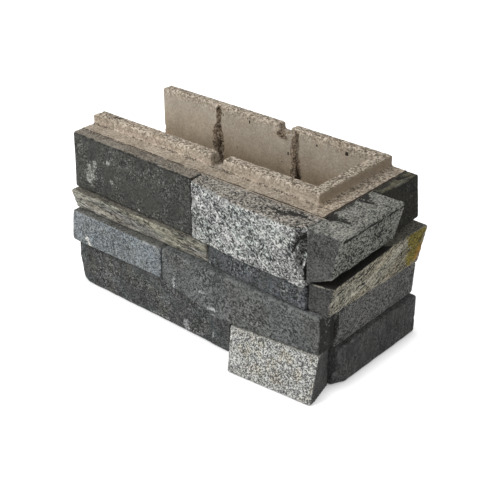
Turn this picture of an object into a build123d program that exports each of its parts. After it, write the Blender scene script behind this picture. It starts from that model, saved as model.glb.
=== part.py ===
from build123d import *
import os

# Sizes are in millimetres. While the block is built, X runs along the stone face from the open end
# to the corner, Y runs from the stone face to the back and Z is up from the bed.

# Concrete core
COURSE = 200.0  # height of one laid course, bed to ledge
LENGTH = 367.0  # along the stone face, open end to corner end
DEPTH = 154.0  # stone face to back face
LEDGE = 20.5  # bearing ledge outside the tongue
TONGUE = 15.5  # thickness of the tongue on the front and end walls
RISE = 13.0  # height of the tongue above the ledge
BACK_WALL = 13.0  # thickness of the back wall
FIT = 1.5  # room left around the tongue of the block below
WORN = 2.4  # rounding of the cast top edges
ROOT = 2.5  # fillet where the tongue meets the ledge, with a bevel in the bed to clear it

# Notch across the tongue and the back wall
NOTCH_AT = 202.0
NOTCH_MOUTH = 20.0
NOTCH_FLOOR = 12.0
NOTCH_STEP = 4.5  # its floor lies this far above the ledge in the back wall

# Low cross webs inside the core, and the scars above them where they were knocked down
WEB = 13.0
WEB_AT = 93.5
WEB_PITCH = 125.5
WEB_TOP = 122.0
SCAR_REACH = 7.0
SCAR_FADE = 0.3

# Stones: joints, arrises and the heights of the lower courses on the two faces
JOINT = 1.2
ARRIS = 1.4
FRONT_COURSE_1 = 55.5
FRONT_COURSE_1_DIP = 45.0
FRONT_COURSE_1_END = 52.5
FRONT_COURSE_2 = 44.5
FRONT_COURSE_3 = 28.0
END_COURSE_1 = 49.5
END_COURSE_2_FRONT = 50.5
END_COURSE_2_BACK = 42.5
END_COURSE_3_FRONT = 34.0
END_COURSE_3_BACK = 53.0

# Usual reach of a split face off the core; each stone states its own reach as shares of it
REACH = 25.0

# Upright joints along the front, from the open end, and along the end, from the front face
TOP_JOINT = 199.5
THIRD_JOINT = 222.0
SECOND_JOINT = 153.5
FIRST_JOINT = 258.0
END_TOP_JOINT = 87.0

# How far the corner stone of each course runs past the core
TOP_QUOIN = 26.0
THIRD_QUOIN = 21.0
SECOND_QUOIN = 20.0
FIRST_QUOIN = 24.0

FRONT_BED_1 = FRONT_COURSE_1
FRONT_BED_2 = FRONT_BED_1 + FRONT_COURSE_2
FRONT_BED_3 = FRONT_BED_2 + FRONT_COURSE_3
END_BED_1 = END_COURSE_1
END_BED_2_FRONT = END_BED_1 + END_COURSE_2_FRONT
END_BED_2_BACK = END_BED_1 + END_COURSE_2_BACK
END_BED_3_FRONT = END_BED_2_FRONT + END_COURSE_3_FRONT
END_BED_3_BACK = END_BED_2_BACK + END_COURSE_3_BACK
END_BED_2_MIDDLE = END_BED_2_FRONT + (END_BED_2_BACK - END_BED_2_FRONT) * END_TOP_JOINT / DEPTH
END_BED_3_MIDDLE = END_BED_3_FRONT + (END_BED_3_BACK - END_BED_3_FRONT) * END_TOP_JOINT / DEPTH
TOP = COURSE + RISE
TONGUE_X = LENGTH - LEDGE
HALF_JOINT = JOINT / 2


def block(x0, x1, y0, y1, z0, z1):
    """Solid box between two corners."""
    return Pos((x0 + x1) / 2, (y0 + y1) / 2, (z0 + z1) / 2) * Box(x1 - x0, y1 - y0, z1 - z0)


def edges_at(solid, z, y, x):
    """Edges lying at height z that run along y or along x."""
    found = []
    for edge in solid.edges():
        middle = edge.center()
        if abs(middle.Z - z) < 0.01 and (abs(middle.Y - y) < 0.01 or abs(middle.X - x) < 0.01):
            found.append(edge)
    return found


def on_front(run, out, up):
    """Point of a front stone: run along the block, out from the face, up from the bed."""
    return Vector(run, -out, up)


def on_end(run, out, up):
    """Point of an end stone: run from the front face to the back, out from the end, up from the bed."""
    return Vector(LENGTH + out, run, up)


def shape(low, high, out_low, out_high, low_lift=0.0, high_drop=0.0):
    """Cross section of a stone: its beds at the core, then reach and bed tilt as shares of REACH."""
    return low, high, out_low * REACH, out_high * REACH, low + low_lift * REACH, high - high_drop * REACH


def outline(place, run, section, trim):
    """Cross section with its two split arrises taken off, drawn in by trim at the end of a stone."""
    low, high, out_low, out_high, low_out, high_out = section
    points = (
        place(run, 0, low + trim),
        place(run, out_low - ARRIS - trim, low_out + trim),
        place(run, out_low - trim, low_out + ARRIS + trim),
        place(run, out_high - trim, high_out - ARRIS - trim),
        place(run, out_high - ARRIS - trim, high_out - trim),
        place(run, 0, high - trim),
    )
    return Wire.make_polygon(points, close=True)


def between(near, far, share):
    """Cross section part of the way from the near end of a stone to its far end."""
    return tuple(a + (b - a) * share for a, b in zip(near, far))


def stone(place, *stations):
    """One stone strip, flat on the core, with a split face that leans and twists along its run.

    Each station is a place along the run and the cross section there, from the near end to the far end.
    """
    (start, near), (after, second) = stations[:2]
    (before, previous), (end, far) = stations[-2:]
    middle = [outline(place, run, section, 0.0) for run, section in stations[1:-1]]
    return Solid.make_loft(
        [
            outline(place, start, near, ARRIS),
            outline(place, start + ARRIS, between(near, second, ARRIS / (after - start)), 0.0),
            *middle,
            outline(place, end - ARRIS, between(far, previous, ARRIS / (end - before)), 0.0),
            outline(place, end, far, ARRIS),
        ],
        ruled=True,
    )


def broken(solid, place, a, b, c, inside):
    """Break a stone off along the plane through three points and keep the part that holds a fourth."""
    a, b, c, inside = (place(run, out * REACH, up) for run, out, up in (a, b, c, inside))
    normal = (b - a).cross(c - a).normalized()
    if normal.dot(inside - a) > 0:
        normal = normal * -1
    return split(solid, bisect_by=Plane(origin=a, z_dir=normal), keep=Keep.BOTTOM)


def notch(floor):
    """Notch through half the depth of the core, from the given height above the ledge up."""
    half = (NOTCH_FLOOR + (NOTCH_MOUTH - NOTCH_FLOOR) * floor / RISE) / 2
    across = Plane(origin=(NOTCH_AT, 0, COURSE), x_dir=(1, 0, 0), z_dir=(0, -1, 0))
    section = across * Polygon(
        (-half, floor),
        (half, floor),
        (NOTCH_MOUTH / 2, RISE),
        (-NOTCH_MOUTH / 2, RISE),
        align=None,
    )
    return extrude(section, -DEPTH / 2)


def make_core():
    """Cast core: two thick walls with ledge and tongue, a thin back wall and low cross webs."""
    inner_y = LEDGE + TONGUE
    back_y = DEPTH - BACK_WALL
    inner_x = TONGUE_X - TONGUE

    shell = block(0, TONGUE_X, LEDGE, DEPTH, 0, TOP)
    shell -= block(-1, inner_x, inner_y, back_y, -1, TOP + 1)
    shell = fillet(shell.faces().sort_by(Axis.Z)[-1].edges(), WORN)
    core = block(0, LENGTH, 0, LEDGE, 0, COURSE) + block(TONGUE_X, LENGTH, 0, DEPTH, 0, COURSE) + shell
    core = fillet(edges_at(core, COURSE, LEDGE, TONGUE_X), ROOT)

    scar_top = TOP - WORN * 1.2
    for index in range(2):
        x = WEB_AT + index * WEB_PITCH
        core += block(x - WEB / 2, x + WEB / 2, inner_y, back_y, 0, WEB_TOP)
        for wall_y, far_y in ((inner_y, inner_y + SCAR_REACH), (back_y, back_y - SCAR_REACH)):
            foot = Plane(origin=(x, wall_y, WEB_TOP)) * Rectangle(WEB, SCAR_REACH * 2)
            head = Plane(origin=(x, wall_y, scar_top))
            head = head * Rectangle(WEB * SCAR_FADE, SCAR_REACH * 2 * SCAR_FADE)
            core += loft([foot, head]) & block(0, LENGTH, min(wall_y, far_y), max(wall_y, far_y), 0, TOP)

    core -= block(-1, TONGUE_X + FIT, LEDGE - FIT, DEPTH + 1, -1, RISE + FIT)
    core = chamfer(edges_at(core, 0, LEDGE - FIT, TONGUE_X + FIT), ROOT)

    return core - notch(0.0) - Pos(0, DEPTH / 2, 0) * notch(NOTCH_STEP)


def make_front_stones():
    """Eight stones on the long face, two to a course; the lowest bed dips under the long stone above it."""
    corner = LENGTH - JOINT
    first_end = LENGTH + FIRST_QUOIN
    low_1, low_2, low_3 = (bed + HALF_JOINT for bed in (FRONT_BED_1, FRONT_BED_2, FRONT_BED_3))
    high_1, high_2, high_3 = (bed - HALF_JOINT for bed in (FRONT_BED_1, FRONT_BED_2, FRONT_BED_3))
    dip = FRONT_COURSE_1_DIP
    last = FRONT_COURSE_1_END

    top_left = stone(
        on_front,
        (0, shape(low_3, COURSE, 0.62, 0.54)),
        (TOP_JOINT - HALF_JOINT, shape(low_3, COURSE, 0.77, 0.75)),
    )
    top_right = stone(
        on_front,
        (TOP_JOINT + HALF_JOINT, shape(low_3, COURSE, 0.82, 0.82, 0, 0.06)),
        (TOP_JOINT + REACH * 3, shape(low_3, COURSE, 1.1, 1.22, 0, 0.14)),
        (corner, shape(low_3, COURSE, 1.16, 1.26, 0, 0.16)),
    )
    chip = COURSE - 0.16 * REACH
    top_right = broken(
        top_right, on_front,
        (corner - REACH * 0.6, 1.26, chip), (corner, 0.81, chip), (corner, 1.26, chip - REACH * 1.7),
        (corner - REACH, 0.5, chip - REACH),
    )
    third_left = stone(
        on_front,
        (0, shape(low_2, high_3, 0.68, 0.96)),
        (THIRD_JOINT - HALF_JOINT, shape(low_2, high_3, 0.62, 0.88)),
    )
    third_right = stone(
        on_front,
        (THIRD_JOINT + HALF_JOINT, shape(low_2, high_3, 0.76, 0.72)),
        (corner, shape(low_2, high_3, 1.02, 0.98)),
    )
    second_left = stone(
        on_front,
        (0, shape(low_1, high_2, 1.13, 0.97, 0.14)),
        (SECOND_JOINT - HALF_JOINT, shape(low_1, high_2, 1.06, 1.04, 0.16)),
    )
    second_right = stone(
        on_front,
        (SECOND_JOINT + HALF_JOINT, shape(low_1, high_2, 1.0, 1.0)),
        (FIRST_JOINT, shape(dip + HALF_JOINT, high_2, 1.32, 1.04)),
        (LENGTH + SECOND_QUOIN, shape(last + HALF_JOINT, high_2, 1.05, 1.08)),
    )
    bottom_left = stone(
        on_front,
        (0, shape(0, high_1, 0.82, 0.68)),
        (SECOND_JOINT, shape(0, high_1, 0.86, 0.8)),
        (FIRST_JOINT - HALF_JOINT, shape(0, dip - HALF_JOINT, 0.94, 0.9)),
    )
    bottom_left = broken(
        bottom_left, on_front,
        (REACH * 0.68, 0.82, 0), (0, 0.52, 0), (0, 0.82, REACH * 2.4),
        (REACH, 0.3, REACH),
    )
    bottom_right = stone(
        on_front,
        (FIRST_JOINT + HALF_JOINT, shape(0, dip - HALF_JOINT, 2.2, 1.34)),
        (first_end, shape(0, last - HALF_JOINT, 1.76, 1.06)),
    )
    heel = FIRST_JOINT + REACH * 0.4
    bottom_right = broken(
        bottom_right, on_front,
        (heel, 0, 0), (heel, 1.32, dip), (heel + REACH * 0.56, 2.12, 0),
        (LENGTH, 1.0, dip / 2),
    )
    bottom_right = broken(
        bottom_right, on_front,
        (first_end - REACH * 0.4, 0, 0), (first_end, 1.6, 0), (first_end, 1.6, COURSE),
        (LENGTH - REACH, 1.0, dip / 2),
    )
    return {
        "front_top_left_stone": top_left,
        "front_top_right_stone": top_right,
        "front_third_left_stone": third_left,
        "front_third_right_stone": third_right,
        "front_second_left_stone": second_left,
        "front_second_right_stone": second_right,
        "front_bottom_left_stone": bottom_left,
        "front_bottom_right_stone": bottom_right,
    }


def make_end_stones():
    """Five stones on the end face; the upper two courses run past the front face, the third is crowned."""
    top_front = stone(
        on_end,
        (-TOP_QUOIN, shape(END_BED_3_FRONT + HALF_JOINT, COURSE, 1.28, 1.72, 0.56)),
        (END_TOP_JOINT - HALF_JOINT, shape(END_BED_3_MIDDLE + HALF_JOINT, COURSE, 1.28, 1.74, 0.48)),
    )
    top_back = stone(
        on_end,
        (END_TOP_JOINT + HALF_JOINT, shape(END_BED_3_MIDDLE + HALF_JOINT, COURSE, 0.76, 0.5, 0.12)),
        (DEPTH, shape(END_BED_3_BACK + HALF_JOINT, COURSE, 0.78, 0.6, 0.12)),
    )
    low_2 = [bed + HALF_JOINT for bed in (END_BED_2_FRONT, END_BED_2_MIDDLE, END_BED_2_BACK)]
    high_3 = [bed - HALF_JOINT for bed in (END_BED_3_FRONT, END_BED_3_MIDDLE, END_BED_3_BACK)]
    third = stone(
        on_end,
        (-THIRD_QUOIN, shape(low_2[0], high_3[0], 1.06, 1.32, 0, -0.14)),
        (END_TOP_JOINT, shape(low_2[1], high_3[1], 0.98, 1.31, 0, -0.2)),
        (DEPTH, shape(low_2[2], high_3[2], 0.92, 1.3, 0, 0.04)),
    )
    second = stone(
        on_end,
        (JOINT, shape(END_BED_1 + HALF_JOINT, END_BED_2_FRONT - JOINT * 2, 0.8, 0.86)),
        (DEPTH, shape(END_BED_1 + HALF_JOINT, END_BED_2_BACK - HALF_JOINT, 0.76, 0.84)),
    )
    bottom = stone(
        on_end,
        (JOINT, shape(0, END_BED_1 - HALF_JOINT, 1.0, 1.0)),
        (DEPTH, shape(0, END_BED_1 - HALF_JOINT, 1.02, 1.02)),
    )
    bottom = broken(
        bottom, on_end,
        (JOINT + REACH * 0.72, 1.0, 0), (JOINT, 0.64, 0), (JOINT, 1.0, REACH * 1.2),
        (REACH * 2, 0.5, REACH),
    )
    return {
        "end_top_front_stone": top_front,
        "end_top_back_stone": top_back,
        "end_third_stone": third,
        "end_second_stone": second,
        "end_bottom_stone": bottom,
    }


pieces = {"concrete_core": make_core()}
pieces.update(make_front_stones())
pieces.update(make_end_stones())

# The finished part stands on the middle of its own footprint
whole = Compound(list(pieces.values())).bounding_box()
centred = Pos(-(whole.min.X + whole.max.X) / 2, -(whole.min.Y + whole.max.Y) / 2, 0)

os.makedirs("parts", exist_ok=True)
for name, solid in pieces.items():
    export_step(centred * solid, f"parts/{name}.step")
    print(name, round(solid.volume / 1000, 1), "cm3")
print(whole)
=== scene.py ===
"""Corner block faced with split stone: looks of its core and thirteen stones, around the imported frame."""

import math

import bmesh
import bpy
import numpy as np
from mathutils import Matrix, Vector


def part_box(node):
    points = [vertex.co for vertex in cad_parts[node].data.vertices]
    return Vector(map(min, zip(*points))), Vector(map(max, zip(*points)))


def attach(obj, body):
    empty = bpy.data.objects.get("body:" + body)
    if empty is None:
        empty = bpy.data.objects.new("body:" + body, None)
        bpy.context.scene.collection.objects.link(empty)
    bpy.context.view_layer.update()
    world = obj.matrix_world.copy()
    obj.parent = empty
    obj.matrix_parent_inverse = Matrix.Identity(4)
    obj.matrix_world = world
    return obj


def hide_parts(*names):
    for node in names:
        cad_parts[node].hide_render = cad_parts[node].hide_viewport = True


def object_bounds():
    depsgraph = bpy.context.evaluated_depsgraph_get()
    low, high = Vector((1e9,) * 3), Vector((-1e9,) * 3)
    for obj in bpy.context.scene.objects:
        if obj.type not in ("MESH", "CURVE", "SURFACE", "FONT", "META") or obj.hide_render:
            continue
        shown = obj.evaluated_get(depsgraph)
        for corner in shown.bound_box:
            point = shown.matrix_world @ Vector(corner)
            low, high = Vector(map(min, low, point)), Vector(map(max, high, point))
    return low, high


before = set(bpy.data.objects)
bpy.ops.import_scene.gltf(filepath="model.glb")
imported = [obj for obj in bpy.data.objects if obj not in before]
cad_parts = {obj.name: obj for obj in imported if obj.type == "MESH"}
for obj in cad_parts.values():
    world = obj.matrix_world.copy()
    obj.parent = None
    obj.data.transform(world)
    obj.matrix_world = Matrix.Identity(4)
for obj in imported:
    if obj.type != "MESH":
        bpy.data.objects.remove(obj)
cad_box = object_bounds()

# Places are in block millimetres: X from the open end of the core, Y from its stone-clad front, Z up.
METRE = 1000
FRONT = np.array((0.0, -1.0, 0.0))
END = np.array((1.0, 0.0, 0.0))
UP = np.array((0.0, 0.0, 1.0))

# The core: its size from the frame, then its tongue, ledge, back wall, notch and low webs
ORIGIN = np.array(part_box("concrete_core")[0])
LENGTH, DEPTH, TOP = (np.array(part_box("concrete_core")[1]) - ORIGIN) * METRE
BOX_LOW, BOX_HIGH = ((np.array(corner) - ORIGIN) * METRE for corner in cad_box)
TONGUE_RISE = 13.0
TONGUE = 15.5
LEDGE_WIDTH = 20.5
BACK_WALL = 13.0
NOTCH = 202.0
WEB_TOP = 122.0
LEDGE = TOP - TONGUE_RISE
WALL = DEPTH - BACK_WALL
TONGUE_BACK = LEDGE_WIDTH + TONGUE
END_TONGUE = LENGTH - LEDGE_WIDTH
END_TONGUE_BACK = END_TONGUE - TONGUE

# Mesh density
STONE_VOXEL = 1.25
CORE_VOXEL = 1.6
CORE_TRIANGLES = 190000
WELD = 0.002


# Noise

HASH_X, HASH_Y, HASH_Z, HASH_SEED = 374761393, 668265263, 1442695041, 974634777
HASH_1, HASH_2 = 2246822519, 3266489917
LOW_BITS = 0xFFFFFFFF
OCTAVE_SHIFT = 31.7
FRACTAL_SPAN = 1.6
FACET_STEP = 1.2
FACET_SLOPE = 2.2


def steps(*values):
    """All steps from one cell to another with the given values along each axis."""
    return [np.array((dx, dy, dz)) for dx in values for dy in values for dz in values]


def lattice(cell, seed):
    """Random numbers from 0 to 1 for whole-number cells."""
    h = cell[..., 0] * HASH_X + cell[..., 1] * HASH_Y + cell[..., 2] * HASH_Z + seed * HASH_SEED
    h = h & LOW_BITS
    h = ((h ^ (h >> 15)) * HASH_1) & LOW_BITS
    h = ((h ^ (h >> 13)) * HASH_2) & LOW_BITS
    h = h ^ (h >> 16)
    return h / LOW_BITS


def smooth_noise(q, seed):
    """Smooth noise from 0 to 1 with one wave to a unit."""
    cell = np.floor(q).astype(np.int64)
    t = q - cell
    t = t * t * t * (t * (t * 6 - 15) + 10)
    total = np.zeros(len(q))
    for corner in steps(0, 1):
        weight = np.prod(np.where(corner == 1, t, 1 - t), axis=1)
        total += weight * lattice(cell + corner, seed)
    return total


def fractal(p, size, seed, octaves=4, gain=0.5):
    """Sum of finer and finer noise, about -1 to 1, with waves of the given size in millimetres."""
    total = np.zeros(len(p))
    weight, weights = 1.0, 0.0
    for octave in range(octaves):
        q = p / size * 2 ** octave + OCTAVE_SHIFT * octave
        total += weight * (smooth_noise(q, seed + octave) * 2 - 1)
        weights += weight
        weight *= gain
    return total / weights * FRACTAL_SPAN


def facets(p, size, seed):
    """Broken planes: every cell has a height and a tilt of its own, about -1 to 1."""
    q = p / size
    base = np.floor(q).astype(np.int64)
    nearest = np.full(len(q), np.inf)
    height = np.zeros(len(q))
    for step in steps(-1, 0, 1):
        cell = base + step
        centre = cell + np.stack([lattice(cell, seed + k) for k in range(3)], axis=1)
        away = q - centre
        distance = np.einsum("ij,ij->i", away, away)
        tilt = np.stack([lattice(cell, seed + 3 + k) - 0.5 for k in range(3)], axis=1)
        own = (lattice(cell, seed + 6) - 0.5) * FACET_STEP
        own += np.einsum("ij,ij->i", tilt, away) * FACET_SLOPE
        closer = distance < nearest
        height[closer] = own[closer]
        nearest[closer] = distance[closer]
    return height


def ramp(value, low, high):
    """0 below low, 1 above high, smooth in between."""
    t = np.clip((value - low) / (high - low), 0, 1)
    return t * t * (3 - 2 * t)


def stretched(p, grain, stretch):
    """Points drawn together along the grain, so that what is made on them runs long that way."""
    grain = np.array(grain, float)
    grain /= np.linalg.norm(grain)
    along = p @ grain
    return p - np.outer(along * (1 - 1 / stretch), grain)


# Meshes

FLAT = (0.6, 0.9)
TURNED = (0.5, 0.8)
SPOT_CORE, SPOT_RIM = 0.35, 1.05
SPOT_RAGGED, SPOT_TEETH = 0.3, 4
FULL_WEAR = 0.7
LEAST_BREADTH, LEAST_DEPTH, CHIP_LEAN = 0.5, 0.25, 0.25
TINY = 1e-6


def millimetres(mesh):
    co = np.empty(len(mesh.vertices) * 3)
    mesh.vertices.foreach_get("co", co)
    return (co.reshape(-1, 3) - ORIGIN) * METRE


def normals_of(mesh):
    n = np.empty(len(mesh.vertices) * 3, np.float32)
    mesh.vertex_normals.foreach_get("vector", n)
    return n.reshape(-1, 3).astype(float)


def put_back(mesh, p):
    """Moves the vertices to the points, none of them outside the CAD box."""
    p = np.clip(p, BOX_LOW, BOX_HIGH)
    mesh.vertices.foreach_set("co", (p / METRE + ORIGIN).astype(np.float32).ravel())
    mesh.update()


def dense_piece(node, piece, voxel):
    """New object with the shape of a CAD node as an even mesh of small faces, and the node's welded mesh."""
    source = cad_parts[node].data
    welded = bmesh.new()
    welded.from_mesh(source)
    bmesh.ops.remove_doubles(welded, verts=welded.verts, dist=WELD / METRE)
    mesh = bpy.data.meshes.new(piece)
    welded.to_mesh(mesh)
    obj = bpy.data.objects.new(piece, mesh)
    bpy.context.scene.collection.objects.link(obj)
    remesh = obj.modifiers.new("even", "REMESH")
    remesh.mode = "VOXEL"
    remesh.voxel_size = voxel / METRE
    settle(obj)
    return obj, welded


def settle(obj):
    """Applies the modifiers of an object."""
    bpy.context.view_layer.update()
    shown = obj.evaluated_get(bpy.context.evaluated_depsgraph_get())
    mesh = bpy.data.meshes.new_from_object(shown)
    obj.modifiers.clear()
    old, obj.data = obj.data, mesh
    bpy.data.meshes.remove(old)


def give(mesh, **fields):
    """Keeps numbers for every vertex, for the material to read."""
    for name, values in fields.items():
        layer = mesh.attributes.new(name, "FLOAT", "POINT")
        layer.data.foreach_set("value", values.astype(np.float32))


def finish_piece(obj, node, material):
    """Gives a piece its material and hands it over in place of its CAD node."""
    obj.data.shade_smooth()
    obj.data.materials.clear()
    obj.data.materials.append(material)
    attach(obj, "root")
    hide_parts(node)


def sharp_edges(welded, least):
    """Edges of a welded CAD mesh with at least that angle: two ends and the direction out of the corner."""
    found = []
    for edge in welded.edges:
        if len(edge.link_faces) == 2 and edge.calc_face_angle(0) > least:
            a, b = ((np.array(v.co) - ORIGIN) * METRE for v in edge.verts)
            out = np.array(edge.link_faces[0].normal + edge.link_faces[1].normal)
            found.append((a, b, out / (np.linalg.norm(out) + TINY)))
    return found


def line_distance(p, a, b):
    """Millimetres from each point to the line between two ends."""
    line = b - a
    share = np.clip((p - a) @ line / (line @ line), 0, 1)
    return np.linalg.norm(p - (a + share[:, None] * line), axis=1)


def edge_distance(p, edges):
    """Millimetres from each point to the nearest of the edges."""
    nearest = np.full(len(p), np.inf)
    for a, b, _ in edges:
        nearest = np.minimum(nearest, line_distance(p, a, b))
    return nearest


def spots(p, places, seed):
    """Ragged patches: 1 in their middle, 0 outside, each with its place, its half sizes and its strength."""
    field = np.zeros(len(p))
    ragged = SPOT_RAGGED * fractal(p, SPOT_TEETH, seed, 3, 0.7)
    for centre, radius, strength in places:
        away = np.linalg.norm((p - np.array(centre)) / np.array(radius), axis=1)
        field = np.maximum(field, strength * (1 - ramp(away + ragged, SPOT_CORE, SPOT_RIM)))
    return field


def scoop(p, field, centre, radius):
    """Presses the points inside a ball out to its skin, as a shell-shaped chip does, and marks them."""
    away = p - centre
    distance = np.linalg.norm(away, axis=1)
    inside = distance < radius
    if inside.any():
        push = radius - distance[inside]
        p[inside] += away[inside] / (distance[inside][:, None] + TINY) * push[:, None]
        field[inside] = np.maximum(field[inside], np.clip(push / FULL_WEAR, 0, 1))


def chip_edges(p, worn, edges, rng, spacing, depth, breadth, shown):
    """Breaks chips off the shown edges, more or less evenly along them and few of them large."""
    for a, b, out in edges:
        length = np.linalg.norm(b - a)
        for _ in range(rng.poisson(length / spacing)):
            place = a + (b - a) * rng.random()
            size = rng.random() ** 2
            radius = breadth * (LEAST_BREADTH + size)
            deep = depth * (LEAST_DEPTH + size)
            if shown(place):
                lean = out + rng.normal(0, CHIP_LEAN, 3)
                lean /= np.linalg.norm(lean)
                scoop(p, worn, place + lean * (radius - deep), radius)


# Materials

DARK, MIDDLE, LIGHT = 0.06, 0.5, 0.94
FLECK_LOW, FLECK_HIGH = 0.34, 0.56
SPECULAR = 0.3


class Nodes:
    """Short ways to lay out a node tree."""

    def __init__(self, name):
        self.material = bpy.data.materials.new(name)
        self.material.use_nodes = True
        self.tree = self.material.node_tree
        self.shader = self.tree.nodes["Principled BSDF"]
        self.point = self.add("ShaderNodeTexCoord").outputs["Object"]

    def add(self, kind, **settings):
        node = self.tree.nodes.new(kind)
        for key, value in settings.items():
            setattr(node, key, value)
        return node

    def link(self, value, socket):
        if isinstance(value, bpy.types.NodeSocket):
            self.tree.links.new(value, socket)
        else:
            socket.default_value = value

    def grain(self, direction, stretch):
        """Coordinates that run long along a direction."""
        node = self.add("ShaderNodeMapping", vector_type="TEXTURE")
        self.link(self.point, node.inputs["Vector"])
        node.inputs["Rotation"].default_value = Vector(direction).to_track_quat("X", "Z").to_euler()
        node.inputs["Scale"].default_value = (stretch, 1, 1)
        return node.outputs["Vector"]

    def noise(self, size, detail=3.0, roughness=0.55, point=None, distortion=0.0):
        """Noise with waves of the given size in millimetres, about 0.25 to 0.75."""
        node = self.add("ShaderNodeTexNoise")
        self.link(point or self.point, node.inputs["Vector"])
        node.inputs["Scale"].default_value = METRE / size
        node.inputs["Detail"].default_value = detail
        node.inputs["Roughness"].default_value = roughness
        node.inputs["Distortion"].default_value = distortion
        return node.outputs["Fac"]

    def crystals(self, size):
        """A random number from 0 to 1 for every crystal of the given size in millimetres."""
        node = self.add("ShaderNodeTexVoronoi")
        self.link(self.point, node.inputs["Vector"])
        node.inputs["Scale"].default_value = METRE / size
        parts = self.add("ShaderNodeSeparateColor")
        self.link(node.outputs["Color"], parts.inputs["Color"])
        return parts.outputs[0]

    def attribute(self, name):
        return self.add("ShaderNodeAttribute", attribute_name=name).outputs["Fac"]

    def math(self, operation, a, b=0.0, c=0.0, clamp=False):
        node = self.add("ShaderNodeMath", operation=operation, use_clamp=clamp)
        for value, socket in zip((a, b, c), node.inputs):
            self.link(value, socket)
        return node.outputs["Value"]

    def times(self, a, b):
        return self.math("MULTIPLY", a, b)

    def total(self, start, *terms):
        """start plus each noise, less its middle, times its weight."""
        value = start
        for weight, noise in terms:
            value = self.math("ADD", value, self.times(self.math("SUBTRACT", noise, 0.5), weight))
        return value

    def between(self, value, low, high):
        """0 below low and 1 above high."""
        node = self.add("ShaderNodeMapRange", interpolation_type="SMOOTHSTEP")
        for item, socket in zip((value, low, high), node.inputs):
            self.link(item, socket)
        return node.outputs["Result"]

    def colours(self, value, *stops):
        node = self.add("ShaderNodeValToRGB")
        elements = node.color_ramp.elements
        while len(elements) < len(stops):
            elements.new(0.5)
        for element, (place, colour) in zip(elements, stops):
            element.position = place
            element.color = (*colour, 1)
        self.link(value, node.inputs["Fac"])
        return node.outputs["Color"]

    def mix(self, share, a, b, blend="MIX"):
        node = self.add("ShaderNodeMix", data_type="RGBA", blend_type=blend, clamp_factor=True)
        self.link(share, node.inputs[0])
        for value, socket in ((a, node.inputs[6]), (b, node.inputs[7])):
            self.link((*value, 1) if isinstance(value, tuple) else value, socket)
        return node.outputs[2]

    def broken(self, field, size=1.7, raggedness=0.9):
        """A soft field from 0 to 1 made into crisp flecks: few where it is low, all where it is high."""
        flecks = self.noise(size, 2, 0.8)
        return self.between(self.total(field, (raggedness, flecks)), FLECK_LOW, FLECK_HIGH)

    def flecks_along(self, name, reach, share):
        """Flecks along what an attribute marks, no more than the given share of them."""
        return self.times(self.broken(self.times(self.attribute(name), reach)), share)

    def grey(self, value):
        """A number as a grey colour."""
        node = self.add("ShaderNodeCombineColor")
        for socket in node.inputs:
            self.link(value, socket)
        return node.outputs["Color"]

    def finish(self, colour, roughness, height, depth, strength):
        """The finished material, with bumps of the given depth in millimetres."""
        bump = self.add("ShaderNodeBump")
        bump.inputs["Strength"].default_value = strength
        bump.inputs["Distance"].default_value = depth / METRE
        self.link(height, bump.inputs["Height"])
        self.link(bump.outputs["Normal"], self.shader.inputs["Normal"])
        self.link(colour, self.shader.inputs["Base Color"])
        self.link(roughness, self.shader.inputs["Roughness"])
        self.shader.inputs["Specular IOR Level"].default_value = SPECULAR
        return self.material


def shade(colour, factor):
    return tuple(min(1.0, c * factor) for c in colour)


# Usual look of a stone. Sizes are in millimetres; broad, middle, fine and sparkle weigh its patches,
# blotches, specks and crystals, which calm evens out; grit varies the top, end_grit the end.
# arris weighs the painted highlight along the arrises, drawn in the rim colour or else in the colour of
# fresh stone.
LOOK = dict(
    grain=(1, 0, 0), stretch=1.0, patch=45, blotch=7, speck=1.9, crystal=1.5, cluster=26, fleck=1.7,
    broad=0.5, middle=0.6, fine=1.9, sparkle=1.15, lift=0.0, calm=0.6, spread=0.65, bump=1.0,
    grit=1.2, end_grit=1.0, arris=0.5, wear=0.6, flecks=0.0, tints=(),
    fleck_colour=(0.34, 0.34, 0.33), mark=(0.5, 0.5, 0.47), mark_2=(0.42, 0.42, 0.4),
)
TOP_WEIGHTS = (0.8, 2.1, 0.9, 1.0)
END_WEIGHTS = (0.7, 2.6, 1.2, 1.0)
# Near black of cracks and stains, and of the painted shade in seams and crevices and under the stone above.
CRACK_AND_SHADE_COLOUR = (0.014, 0.013, 0.011)


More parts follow.
